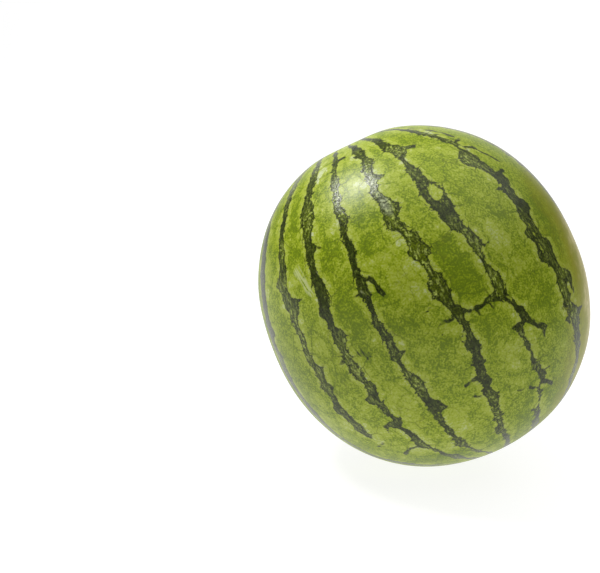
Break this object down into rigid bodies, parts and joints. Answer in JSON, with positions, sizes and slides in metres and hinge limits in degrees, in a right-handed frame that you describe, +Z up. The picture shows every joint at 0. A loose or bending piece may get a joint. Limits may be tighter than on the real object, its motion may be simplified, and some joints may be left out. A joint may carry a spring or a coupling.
{
  "type": "watermelon",
  "caption": "Round whole watermelon with a squarish profile, a corky stem scar sunk in one end and a small flat resting spot.",
  "frame": {"origin": "middle of the bottom of the bounding box, on the plane of the flat spot that the fruit rests on", "axes": "+Z up, square to the resting spot and along the longest extent; +Y away from the viewer and +X to the viewer's right; the fruit's own axis runs from the stem end, which leans 26 degrees from +Z towards -X and a little towards +Y, to the blossom end"},
  "size_m": [0.2106, 0.2054, 0.2144],
  "materials": {
    "rind": "waxy rind, light green with dark green stripes"
  },
  "bodies": {
    "root": {"watermelon": "rind"}
  },
  "joints": []
}
